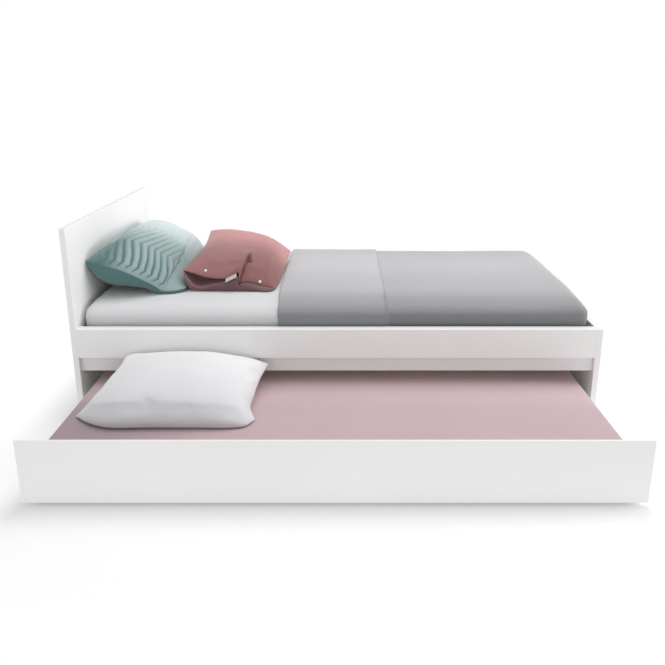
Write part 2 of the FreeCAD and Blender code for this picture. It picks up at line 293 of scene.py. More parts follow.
# ---- mesh helpers -------------------------------------------------------------------
def make_piece(name, points, faces, paint, body):
    """A smooth-shaded mesh that rides on a body."""
    mesh = bpy.data.meshes.new(name)
    mesh.from_pydata([tuple(p) for p in points], [], faces)
    mesh.update()
    mesh.materials.append(paint)
    mesh.polygons.foreach_set("use_smooth", [True] * len(mesh.polygons))
    piece = bpy.data.objects.new(name, mesh)
    bpy.context.scene.collection.objects.link(piece)
    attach(piece, body)
    return piece


def store_cloth(piece, coordinates):
    """Keep each point's place on the flat cloth, for the weave to follow."""
    layer = piece.data.attributes.new("cloth", "FLOAT_VECTOR", "POINT")
    layer.data.foreach_set("vector", np.asarray(coordinates, np.float32).ravel())


def store_painted_shade(piece, amounts):
    """Keep how much painted shade darkens the cloth's colour at each point, from 0 to 1."""
    layer = piece.data.attributes.new("deep", "FLOAT", "POINT")
    layer.data.foreach_set("value", np.clip(np.asarray(amounts, np.float32).ravel(), 0, 1))


def steps(low, high, size):
    """Even places from low to high, about size apart."""
    return np.linspace(low, high, max(2, int(round((high - low) / size)) + 1))


def side_steps(low, high, radius, size):
    """Places along an edge, close together where the edge rounds over."""
    curve = radius * (1.0 - np.cos(np.linspace(0.0, math.pi / 2, 8)))
    middle = steps(low + radius, high - radius, size)[1:-1]
    return np.concatenate([low + curve, middle, (high - curve)[::-1]])


def block(low, high, radius, size, keep=None, sides=None):
    """The quads of a box whose edges are all rounded by radius.

    keep(face centre on the box) picks the faces. Returns points, faces and normals."""
    axes = sides or [side_steps(low[i], high[i], radius, size) for i in range(3)]
    index = {}
    box_points = []
    faces = []

    def corner(p):
        key = tuple(np.round(p, 5))
        if key not in index:
            index[key] = len(box_points)
            box_points.append(p)
        return index[key]

    for axis in range(3):
        u, v = [a for a in range(3) if a != axis]
        for end, value in ((0, low[axis]), (1, high[axis])):
            for i in range(len(axes[u]) - 1):
                for j in range(len(axes[v]) - 1):
                    quad = []
                    for a, b in ((i, j), (i + 1, j), (i + 1, j + 1), (i, j + 1)):
                        p = np.zeros(3)
                        p[axis] = value
                        p[u] = axes[u][a]
                        p[v] = axes[v][b]
                        quad.append(p)
                    if keep is not None and not keep(sum(quad) / 4):
                        continue
                    ring = [corner(p) for p in quad]
                    flip = (axis == 1) == bool(end)
                    faces.append(ring[::-1] if flip else ring)
    flat = np.array(box_points)
    inner = np.clip(flat, np.array(low) + radius, np.array(high) - radius)
    way = flat - inner
    normals = way / np.maximum(np.linalg.norm(way, axis=1, keepdims=True), 1e-9)
    return inner + normals * radius, faces, normals


def ripple(points, scale, seed, octaves=3):
    """Smooth noise from -1 to 1 at each point, stretched by scale (x, y, z)."""
    stretch = np.array(scale)
    shift = Vector((seed * 3.17, seed * 1.31, seed * 2.23))
    values = [noise.fractal(Vector(p * stretch) + shift, 1.0, 2.0, octaves) for p in points]
    return np.array(values)


def smoothstep(edge0, edge1, x):
    """0 before edge0, 1 past edge1 and a smooth rise between them; edge0 may be the larger."""
    t = np.clip((x - edge0) / (edge1 - edge0), 0.0, 1.0)
    return t * t * (3.0 - 2.0 * t)


# ---- mattresses and duvet -----------------------------------------------------------
def slump(points, low, high, drop=0.012, tuck=0.004):
    """Let the long sides of a soft layer sag at the edge and tuck in below it."""
    y, z = points[:, 1].copy(), points[:, 2].copy()
    for edge, side in ((low[1], 1), (high[1], -1)):
        inward = (y - edge) * side
        points[:, 2] -= drop * (1 - smoothstep(0.0, 0.13, inward)) * smoothstep(high[2] - 0.05, high[2], z)
        below = smoothstep(high[2] - 0.04, high[2] - 0.09, z)
        points[:, 1] += side * tuck * below * (1 - smoothstep(0.0, 0.05, inward))


def foot_end(points):
    """The foot end of the bedding: a little short at the front of the bed, full in its middle."""
    place = (points[:, 1] - BED_LOW[1]) / (BED_HIGH[1] - BED_LOW[1])
    near = smoothstep(0.78, 0.98, points[:, 0])
    full = smoothstep(0.1, 0.4, place)
    top = smoothstep(BED_TOP - 0.05, BED_TOP, points[:, 2])
    points[:, 0] += near * (0.003 * full - 0.008 * smoothstep(0.28, 0.0, place))
    points[:, 2] += near * 0.003 * full * smoothstep(1.0, 0.75, place) * top
    points[:, 2] += near * 0.005 * smoothstep(0.16, 0.0, place) * top


def painted_side_shade(points, low, high):
    """Painted shade amount: 0 over the middle, rising to nearly 1 down the front side and to a third of
    that at the back.
    """
    drop = high[2] - points[:, 2]
    tone = np.zeros(len(points))
    for inward, weight in ((points[:, 1] - low[1], 1.0), (high[1] - points[:, 1], 0.35)):
        place = inward - drop
        side = 0.32 * smoothstep(0.66, 0.25, place) + 0.46 * smoothstep(0.25, 0.03, place)
        tone = np.maximum(tone, weight * (side + 0.18 * smoothstep(0.03, -0.03, place)))
    return tone


def main_mattress():
    """The bed's foam mattress in its fitted sheet."""
    radius = 0.050
    mesh_size = 0.035
    points, faces, normals = block(BED_LOW, BED_HIGH, radius, mesh_size)
    x, y = points[:, 0], points[:, 1]
    middle = (BED_LOW + BED_HIGH) / 2
    half = (BED_HIGH - BED_LOW) / 2
    crown = (1 - np.abs((x - middle[0]) / half[0]) ** 6) * (1 - np.abs((y - middle[1]) / half[1]) ** 4)
    up = np.clip(normals[:, 2], 0, 1)
    bare = 1 - smoothstep(DUVET_LOW[0] - 0.05, DUVET_LOW[0] + 0.02, x)
    points[:, 2] += up * crown * (0.001 + 0.005 * bare)
    points += normals * (ripple(points, (5, 7, 5), 1)[:, None] * 0.0008 * (bare + 0.1)[:, None])
    slump(points, BED_LOW, BED_HIGH, drop=0.007)
    # the head end is pushed a little up and towards the headboard
    top = smoothstep(BED_TOP - 0.05, BED_TOP, points[:, 2])
    head = 1 - smoothstep(0.0, 0.25, points[:, 0] - BED_LOW[0])
    points[:, 2] += 0.004 * head * top
    points[:, 0] -= 0.007 * head
    foot_end(points)
    piece = make_piece("fitted_sheet", points, faces, WHITE_SHEET.material, "bed_frame")
    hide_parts("main_mattress")


def open_end(places, start, bend, size):
    """The places of an edge that is cut off at start and rounds over only past its bend."""
    return np.concatenate([steps(start, bend, size)[:-1], places[places >= bend - 1e-6]])


def duvet_shell(low, high, radius, start, hem):
    """The duvet's outer surface: a box without head end or bottom."""
    mesh_size = 0.025
    axes = [side_steps(low[i], high[i], radius, mesh_size) for i in range(3)]
    axes[0] = open_end(axes[0], start, high[0] - radius, mesh_size)
    axes[2] = open_end(axes[2], hem, high[2] - radius, 0.8 * mesh_size)
    low = np.array([low[0], low[1], hem])

    def keep(p):
        return p[2] > hem + 1e-4 and p[0] > start

    return block(low, high, radius, mesh_size, keep, axes)


DUVET_RADIUS = 0.04
DUVET_THICK = 0.0045


def duvet():
    """A thin duvet over the mattress, tucked in at the sides and the foot."""
    low, high = DUVET_LOW.copy(), DUVET_HIGH.copy()
    low[0] = BED_LOW[0]
    points, faces, normals = duvet_shell(low, high, DUVET_RADIUS, DUVET_LOW[0], DUVET_LOW[2])
    up = np.clip(normals[:, 2], 0, 1)
    x = points[:, 0]
    loose = smoothstep(FOLD_HIGH[0] - 0.02, FOLD_HIGH[0] + 0.1, x)
    points[:, 2] += up * ripple(points, (2.2, 3.0, 3), 4) * 0.0025 * (0.2 + loose)
    points += normals * (ripple(points, (6, 9, 9), 5)[:, None] * 0.0009)
    # painted shade down the sides and along the rounded foot edge
    tone = painted_side_shade(points, low, high) + 0.45 * smoothstep(high[0] - 0.016, high[0] - 0.004, x)
    slump(points, low, high)
    # the head end runs a little towards the foot at the front of the bed
    front = smoothstep(0.05, DUVET_LOW[1] + 0.01, points[:, 1])
    points[:, 0] += 0.011 * (1 - smoothstep(0.0, 0.15, x - DUVET_LOW[0])) * front
    foot_end(points)
    piece = make_piece("grey_duvet", points, faces, GREY_DUVET.material, "bed_frame")
    store_painted_shade(piece, tone)
    shell = piece.modifiers.new("filling", "SOLIDIFY")
    shell.thickness = DUVET_THICK
    shell.offset = -1.0
    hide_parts("duvet")


def across_path(low, high, radius, hem_near, hem_far):
    """The line of a cover over the bed from front to back: rows of y, z and the outward normal."""
    arc_points = 12
    path = []
    for z in steps(hem_near, high[2] - radius, 0.015):
        path.append((low[1], z, -1.0, 0.0))
    for angle in np.linspace(0, math.pi / 2, arc_points)[1:]:
        out, up = math.cos(angle), math.sin(angle)
        path.append((low[1] + radius * (1 - out), high[2] - radius * (1 - up), -out, up))
    for y in steps(low[1] + radius, high[1] - radius, 0.02)[1:]:
        path.append((y, high[2], 0.0, 1.0))
    for angle in np.linspace(math.pi / 2, 0, arc_points)[1:]:
        out, up = math.cos(angle), math.sin(angle)
        path.append((high[1] - radius * (1 - out), high[2] - radius * (1 - up), out, up))
    for z in steps(hem_far, high[2] - radius, 0.015)[::-1][1:]:
        path.append((high[1], z, 1.0, 0.0))
    return np.array(path)


def two_grids(outer, inner):
    """A closed skin from an outer and an inner grid of points, joined at their borders."""
    n, m = outer.shape[:2]
    points = np.concatenate([outer.reshape(-1, 3), inner.reshape(-1, 3)])
    count = n * m
    faces = []
    for i in range(n - 1):
        for j in range(m - 1):
            a, b, c, d = i * m + j, (i + 1) * m + j, (i + 1) * m + j + 1, i * m + j + 1
            faces.append((a, b, c, d))
            faces.append((count + d, count + c, count + b, count + a))
    border = [(i, 0) for i in range(n)] + [(n - 1, j) for j in range(1, m)]
    border += [(i, m - 1) for i in range(n - 2, -1, -1)] + [(0, j) for j in range(m - 2, 0, -1)]
    for (i, j), (next_i, next_j) in zip(border, border[1:] + border[:1]):
        a, b = i * m + j, next_i * m + next_j
        faces.append((b, a, count + a, count + b))
    return points, faces


def duvet_fold():
    """The duvet's top turned back over itself."""
    path = across_path(DUVET_LOW, DUVET_HIGH, DUVET_RADIUS, FOLD_LOW[2], FOLD_LOW[2] + 0.01)
    thick = FOLD_HIGH[2] - DUVET_HIGH[2]
    hem = np.array([0.0, 0.002, 0.005, 0.009, 0.014])
    across = np.concatenate([hem, steps(0.02, 1 - 0.02, 0.03), 1 - hem[::-1]])
    width = FOLD_HIGH[0] - FOLD_LOW[0]
    edge_round = 0.008
    gap = 0.0006
    outer = np.zeros((len(across), len(path), 3))
    inner = np.zeros_like(outer)
    for i, s in enumerate(across):
        edge = min(s, 1 - s) * width
        rise = thick * math.sqrt(max(0.0, 1 - max(0.0, 1 - edge / edge_round) ** 2))
        for j, (y, z, ny, nz) in enumerate(path):
            reach = rise * (1.0 - 0.4 * abs(ny))
            if y > DUVET_HIGH[1] - 0.02:
                reach = rise * 0.55
            x = FOLD_LOW[0] + s * width
            x += 0.003 * math.sin(7.0 * z + 5.0 * y + 3.0 * s)
            x += 0.008 * smoothstep(0.05, DUVET_LOW[1] + 0.01, y)
            outer[i, j] = (x, y + ny * reach, z + nz * reach)
            inner[i, j] = (x, y + ny * gap, z + nz * gap)
    flat = outer.reshape(-1, 3)
    wobble = ripple(flat, (3.0, 3.0, 3.0), 9) * 0.0016 + ripple(flat, (9, 9, 9), 10) * 0.0006
    lift = wobble.reshape(outer.shape[:2])
    lift[0] = lift[-1] = 0.0
    outer[:, :, 1] += lift * path[:, 2]
    outer[:, :, 2] += lift * path[:, 3]
    points, faces = two_grids(outer, inner)
    # painted shade down the sides and along the turned-back edge
    tone = painted_side_shade(points, DUVET_LOW, DUVET_HIGH)
    tone += 0.5 * smoothstep(FOLD_HIGH[0] - 0.008, FOLD_HIGH[0] - 0.003, points[:, 0])
    slump(points, DUVET_LOW, DUVET_HIGH)
    piece = make_piece("duvet_turn_back", points, faces, GREY_LINING.material, "bed_frame")
    store_painted_shade(piece, tone)
    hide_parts("duvet_fold")


def trundle_mattress():
    """The lower foam mattress in its rose sheet."""
    radius = 0.009
    mesh_size = 0.03
    points, faces, normals = block(TRUNDLE_LOW, TRUNDLE_HIGH, radius, mesh_size)
    x, y = points[:, 0], points[:, 1]
    middle = (TRUNDLE_LOW + TRUNDLE_HIGH) / 2
    half = (TRUNDLE_HIGH - TRUNDLE_LOW) / 2
    crown = (1 - np.abs((x - middle[0]) / half[0]) ** 8) * (1 - np.abs((y - middle[1]) / half[1]) ** 6)
    up = np.clip(normals[:, 2], 0, 1)
    points[:, 2] += up * crown * 0.002
    points[:, 2] += up * ripple(points, (3.0, 2.0, 3), 12) * 0.0016
    # painted shade on the sheet's open front, stronger to the left where the white pillow's shadow falls;
    # the part under the bed's rail keeps the full, lighter colour, painted light in the rail's shadow
    front = smoothstep(-0.15, -0.45, y)
    tone = front * (0.54 + 0.42 * smoothstep(-0.30, -0.85, x))
    # the sheet stands a few millimetres past the foam at its head and foot
    points[:, 0] *= 1.0058
    piece = make_piece("rose_fitted_sheet", points, faces, ROSE_SHEET.material, "trundle")
    store_painted_shade(piece, tone)
    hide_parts("trundle_mattress")


# ---- pillows ------------------------------------------------------------------------
SIM_FRAMES = 20
# Each pillow adds its flat size, its thickness above and below the seam, how blunt each of those
# sides is towards the seam, and the seed of its unevenness. cap is how far filling may move a point.
PILLOW = {
    "counts": (52, 40),
    "finer": 3,
    "pressure": 3.0,
    "bending": 1.5,
    "shrink": -0.03,
    "cap": 0.010,
}


def spread(count):
    """Places from -1 to 1, closer together at the ends."""
    return np.sin(np.linspace(-math.pi / 2, math.pi / 2, count + 1))


def stuffed(u, v, form, layer):
    """A stuffed case's place and height from its middle at (u, v) from -1 to 1."""
    length, width = form["size"]
    blunt = form["blunt"][layer]
    lens = max(0.0, (1 - abs(u) ** blunt) * (1 - abs(v) ** blunt)) ** 0.5
    return length / 2 * u, width / 2 * v, form["thick"][layer] * lens


def flat_pillow(form):
    """A stuffed case lying flat: (points, faces, top and bottom point numbers by grid)."""
    nu, nv = form["counts"]
    top = np.zeros((nu + 1, nv + 1), int)
    bottom = np.zeros((nu + 1, nv + 1), int)
    points = []
    for side, layer, sign in ((0, top, 1), (1, bottom, -1)):
        for i, u in enumerate(spread(nu)):
            for j, v in enumerate(spread(nv)):
                if sign < 0 and (i in (0, nu) or j in (0, nv)):
                    layer[i, j] = top[i, j]
                    continue
                x, y, z = stuffed(u, v, form, side)
                wobble = 1 + 0.05 * noise.noise(Vector((u * 3, v * 3, sign * 3.0 + form["seed"])))
                layer[i, j] = len(points)
                points.append((x, y, sign * z * wobble))
    faces = []
    for i in range(nu):
        for j in range(nv):
            faces.append((top[i, j], top[i + 1, j], top[i + 1, j + 1], top[i, j + 1]))
            faces.append((bottom[i, j], bottom[i, j + 1], bottom[i + 1, j + 1], bottom[i + 1, j]))
    return np.array(points), faces, top, bottom


def inflate(points, faces, form):
    """Fill the case by cloth simulation, in a weightless copy, and read its points."""
    mesh = bpy.data.meshes.new("blown")
    mesh.from_pydata([tuple(p) for p in points], [], [tuple(int(k) for k in f) for f in faces])
    mesh.update()
    piece = bpy.data.objects.new("blown", mesh)
    scene = bpy.context.scene
    scene.collection.objects.link(piece)
    cloth = piece.modifiers.new("cloth", "CLOTH")
    settings = cloth.settings
    settings.quality = 8
    settings.mass = 0.25
    settings.air_damping = 2.0
    settings.tension_stiffness = 25.0
    settings.compression_stiffness = 25.0
    settings.shear_stiffness = 8.0
    settings.bending_stiffness = form["bending"]
    settings.use_pressure = True
    settings.uniform_pressure_force = form["pressure"]
    settings.shrink_min = form["shrink"]
    settings.effector_weights.gravity = 0.0
    cloth.point_cache.frame_start = 1
    cloth.point_cache.frame_end = SIM_FRAMES
    for step in range(1, SIM_FRAMES + 1):
        scene.frame_set(step)
    seen = piece.evaluated_get(bpy.context.evaluated_depsgraph_get())
    blown = np.array([v.co for v in seen.data.vertices])
    bpy.data.objects.remove(piece)
    scene.frame_set(1)
    way = blown - points
    inner = np.min(np.array(form["size"]) / 2 - np.abs(points[:, :2]), axis=1)
    way *= smoothstep(-0.02, 0.18, inner)[:, None]
    far = np.linalg.norm(way, axis=1, keepdims=True)
    return points + way * np.minimum(1.0, form["cap"] / np.maximum(far, 1e-9))


def finer(grid, times):
    """A grid of points made finer by smooth (Catmull-Rom) interpolation both ways."""
    for axis in (0, 1):
        grid = np.swapaxes(grid, 0, axis)
        padded = np.concatenate([2 * grid[:1] - grid[1:2], grid, 2 * grid[-1:] - grid[-2:-1]])
        rows = []
        for i in range(len(grid) - 1):
            p0, p1, p2, p3 = padded[i:i + 4]
            for k in range(times):
                t = k / times
                rows.append(0.5 * (2 * p1 + (p2 - p0) * t + (2 * p0 - 5 * p1 + 4 * p2 - p3) * t * t
                                   + (3 * p1 - p0 - 3 * p2 + p3) * t ** 3))
        rows.append(grid[-1])
        grid = np.swapaxes(np.array(rows), 0, axis)
    return grid


def puffed(form):
    """Top and bottom grids of a filled pillow, centred on the origin."""
    points, faces, top, bottom = flat_pillow(form)
    points = inflate(points, faces, form)
    return finer(points[top], form["finer"]), finer(points[bottom], form["finer"])


def sewn_line(knots, t):
    """Places on the smooth line through knots, for t from 0 at its start to 1 at its end."""
    knots = np.array(knots, float)
    far = np.concatenate([[0.0], np.cumsum(np.linalg.norm(np.diff(knots, axis=0), axis=1))])
    far /= far[-1]
    slope = np.gradient(knots, far, axis=0)
    t = np.clip(np.asarray(t, float), 0.0, 1.0)
    k = np.clip(np.searchsorted(far, t, side="right") - 1, 0, len(far) - 2)
    span = (far[k + 1] - far[k])[..., None]
    s = (t - far[k])[..., None] / span
    start = (1 + 2 * s) * (1 - s) ** 2 * knots[k] + s * (1 - s) ** 2 * span * slope[k]
    end = s * s * (3 - 2 * s) * knots[k + 1] + s * s * (s - 1) * span * slope[k + 1]
    return start + end


def between(edges, u, v):
    """The smooth (Coons) surface between near, far, left and right edge lines, u and v from 0 to 1."""
    near, far, left, right = edges
    across = (1 - v)[..., None] * sewn_line(near, u) + v[..., None] * sewn_line(far, u)
    along = (1 - u)[..., None] * sewn_line(left, v) + u[..., None] * sewn_line(right, v)
    a, b, c, d = (np.array(p, float) for p in (near[0], near[-1], far[0], far[-1]))
    u, v = u[..., None], v[..., None]
    return across + along - (a * (1 - u) + b * u) * (1 - v) - (c * (1 - u) + d * u) * v


def lay(grid, form, edges):
    """Carry a flat pillow's grid onto the surface between its four edge lines."""
    u = np.clip((grid[..., 0] / form["size"][0]) + 0.5, 0.0, 1.0)
    v = np.clip((grid[..., 1] / form["size"][1]) + 0.5, 0.0, 1.0)
    place = between(edges, u, v)
    step = 2e-2
    along = between(edges, np.minimum(u + step, 1), v) - between(edges, np.maximum(u - step, 0), v)
    across = between(edges, u, np.minimum(v + step, 1)) - between(edges, u, np.maximum(v - step, 0))
    normal = np.cross(along, across)
    normal /= np.linalg.norm(normal, axis=-1, keepdims=True)
    return place + normal * grid[..., 2][..., None]


def seamed(top, bottom):
    """One closed skin from a top and a bottom grid that share their border."""
    n, m = top.shape[:2]
    number = {}
    points = []
    faces = []
    for layer, grid in enumerate((top, bottom)):
        for i in range(n):
            for j in range(m):
                rim = i in (0, n - 1) or j in (0, m - 1)
                key = (0 if rim else layer, i, j)
                if key not in number:
                    number[key] = len(points)
                    points.append(grid[i, j])
                number[(layer, i, j)] = number[key]
    for i in range(n - 1):
        for j in range(m - 1):
            ring = [(i, j), (i + 1, j), (i + 1, j + 1), (i, j + 1)]
            faces.append([number[(0, *k)] for k in ring])
            faces.append([number[(1, *k)] for k in ring][::-1])
    return np.array(points), faces


def rest_on(points, axis, level, side, soft=0.004):
    """Press the points that are near or past a plane back to its side, in place, with a soft start."""
    gap = (points[..., axis] - level) * side
    pressed = np.where(gap < soft, soft * np.exp(np.minimum(gap - soft, 0) / soft / 6), gap)
    points[..., axis] = level + side * pressed


def white_pillow():
    """The pillow on the trundle, propped against the bed's rail."""
    form = dict(PILLOW, size=(0.64, 0.44), thick=(0.082, 0.08), blunt=(2.0, 4.0), seed=2.0)
    top, bottom = puffed(form)
    near = [(-0.918, -0.482, 0.165), (-0.86, -0.529, 0.169), (-0.80, -0.559, 0.175),
            (-0.64, -0.568, 0.181), (-0.45, -0.568, 0.181), (-0.36, -0.565, 0.177),
            (-0.31, -0.552, 0.170), (-0.282, -0.508, 0.166)]
    far = [(-0.819, -0.246, 0.275), (-0.80, -0.242, 0.288), (-0.72, -0.24, 0.294), (-0.58, -0.24, 0.296),
           (-0.42, -0.24, 0.286), (-0.32, -0.242, 0.270), (-0.264, -0.247, 0.256)]
    left = [near[0], (-0.871, -0.42, 0.189), (-0.840, -0.35, 0.213), (-0.820, -0.29, 0.243), far[0]]
    right = [near[-1], (-0.305, -0.46, 0.180), (-0.302, -0.40, 0.194), (-0.290, -0.33, 0.221), far[-1]]
    edges = (near, far, left, right)
    # painted shade, darker towards the front of the pillow
    tone = [smoothstep(0.22, -0.22, g[..., 1]) for g in (top, bottom)]
    top, bottom = (lay(g, form, edges) for g in (top, bottom))
    points, faces = seamed(top, bottom)
    tone, _ = seamed(*tone)
    rest_on(points, 2, TRUNDLE_TOP + 0.0035, 1)
    rest_on(points, 1, BED_FRONT - 0.002, -1)
    piece = make_piece("white_bed_pillow", points, faces, WHITE_COVER.material, "trundle")
    store_painted_shade(piece, tone)
    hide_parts("white_pillow")
    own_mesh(piece)


# where the herringbone turns along the case, and how far each run has moved across it (metres)
TURNS = ((-0.35, 0.0), (-0.33, -0.016), (-0.17, 0.040), (0.05, -0.024), (0.25, 0.032))
PLEAT = 0.032
RIDGE_HEIGHT = 0.012


def herringbone(u, v):
    """Height from 0 to 1 of ridges that zigzag along u and repeat across v (both in metres).

    The second result is how much of that height each place keeps."""
    at, shift = np.array(TURNS).T
    phase = ((v - np.interp(u, at, shift)) / PLEAT) % 1.0
    ridge = np.where(phase < 0.76, (phase / 0.76) ** 1.2, ((1.0 - phase) / 0.24) ** 0.8)
    fade = smoothstep(0.35, 0.335, np.abs(u)) * smoothstep(-0.16, -0.09, v) * smoothstep(0.185, 0.165, v)
    return ridge, fade * smoothstep(0.12, -0.02, u)


def teal_pillow():
    """The large pillow that leans on the headboard, with a raised herringbone."""
    form = dict(PILLOW, size=(0.70, 0.46), thick=(0.059, 0.105), blunt=(2.8, 7.0), seed=5.0)
    form.update(counts=(56, 40), finer=4)
    top, bottom = puffed(form)
    cloth = [g * (1, 1, 0) for g in (top, bottom)]
    u, v = top[..., 0], top[..., 1]
    ridge, fade = herringbone(u, v)
    top[..., 2] += ridge * fade * RIDGE_HEIGHT
    bottom[..., 2] *= 0.55 + 0.45 * smoothstep(-0.12, 0.12, bottom[..., 1])
    # u runs from the front to the back of the bed, v from the mattress up the headboard
    left = [(-0.628, -0.006, 0.484), (-0.67, -0.032, 0.480), (-0.715, -0.042, 0.484),
            (-0.745, -0.055, 0.510), (-0.80, -0.076, 0.550), (-0.865, -0.095, 0.589),
            (-0.925, -0.10, 0.607), (-0.995, -0.092, 0.622)]
    right = [(-0.672, 0.56, 0.515), (-0.75, 0.60, 0.55), (-0.86, 0.622, 0.594), (-0.972, 0.628, 0.622)]
    near = [left[0], (-0.640, 0.12, 0.486), (-0.655, 0.30, 0.50), (-0.668, 0.45, 0.515), right[0]]
    far = [left[-1], (-0.990, 0.10, 0.626), (-0.985, 0.30, 0.627), (-0.98, 0.45, 0.625), right[-1]]
    edges = (near, far, left, right)
    # painted shade: darker towards the front and the mattress, at the upper front corner, in the hollows
    # of the herringbone and all over the underside
    tone = [0.61 * smoothstep(0.25, -0.15, g[..., 0] + 0.2 * g[..., 1]) for g in (top, bottom)]
    tone[0] += 0.39 * smoothstep(0.05, 0.18, v) * smoothstep(-0.06, -0.26, u)
    tone[0] += (0.28 + 0.35 * smoothstep(-0.16, -0.30, u)) * fade * smoothstep(0.45, 0.0, ridge)
    tone[1] = np.ones_like(tone[1])
    top, bottom = (lay(g, form, edges) for g in (top, bottom))
    points, faces = seamed(top, bottom)
    coordinates, _ = seamed(*cloth)
    tone, _ = seamed(*tone)
    rest_on(points, 2, BED_TOP + 0.005, 1)
    rest_on(points, 0, HEAD_FACE + 0.001, 1)
    paint = TEAL_COVER.material
    piece = make_piece("teal_herringbone_pillow", points, faces, paint, "bed_frame")
    store_cloth(piece, coordinates)
    store_painted_shade(piece, tone)
    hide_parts("teal_pillow")


# the pink case's open end: its upper and lower hems, and how far down its gap the inner flap starts
UPPER_HEM = [(-0.640, 0.020, 0.552), (-0.592, 0.018, 0.537), (-0.551, 0.010, 0.527),
             (-0.501, 0.0, 0.522), (-0.461, 0.0, 0.519), (-0.41, 0.002, 0.513), (-0.357, 0.008, 0.502),
             (-0.325, 0.014, 0.488), (-0.295, 0.016, 0.480), (-0.262, 0.012, 0.476)]
LOWER_HEM = [(-0.640, 0.020, 0.552), (-0.631, 0.006, 0.532), (-0.618, 0.002, 0.508),
             (-0.597, 0.0, 0.486), (-0.566, -0.004, 0.474), (-0.50, -0.006, 0.4705),
             (-0.43, -0.008, 0.4705), (-0.34, -0.010, 0.4705), (-0.276, -0.008, 0.4705),
             (-0.262, 0.012, 0.476)]
FLAP = [(-0.64, 0.95), (-0.575, 0.95), (-0.55, 0.88), (-0.50, 0.50), (-0.46, 0.34), (-0.415, 0.36),
        (-0.40, 0.12), (-0.262, 0.12)]
# how many points of each lining line run inside the case and how many over the flap; they share one
INSIDE = 13
OVER = 7
# where the crease stands along the case, from -1 to 1
CREASE = 0.212


def mouth(top_edge, bottom_edge):
    """The lining between two hems: into the case, back out over the inner flap, and down."""
    flap_x, flap_at = np.array(FLAP).T
    columns = []
    for i, (a, b) in enumerate(zip(top_edge, bottom_edge)):
        along = i / (len(top_edge) - 1)
        ends = min(1.0, min(along, 1 - along) / 0.06)
        flap = float(np.interp(a[0], flap_x, flap_at))
        deep = ends * (0.014 + 0.06 * smoothstep(0.15, 0.5, flap))
        column = []
        for s in np.linspace(0.0, 1.0, INSIDE):
            into = 0.001 + deep * max(0.0, math.sin(math.pi * s)) ** 0.6
            at = flap * s
            column.append(a + (b - a) * at + np.array([0.0, into, 0.0]))
        for s in np.linspace(0.0, 1.0, OVER)[1:]:
            at = flap + (1 - flap) * s
            out = 0.007 * math.sin(math.pi * s) * ends
            column.append(a + (b - a) * at + np.array([0.0, 0.001 - out, 0.0]))
        column[0] = a
        column[-1] = b
        columns.append(column)
    return np.array(columns)


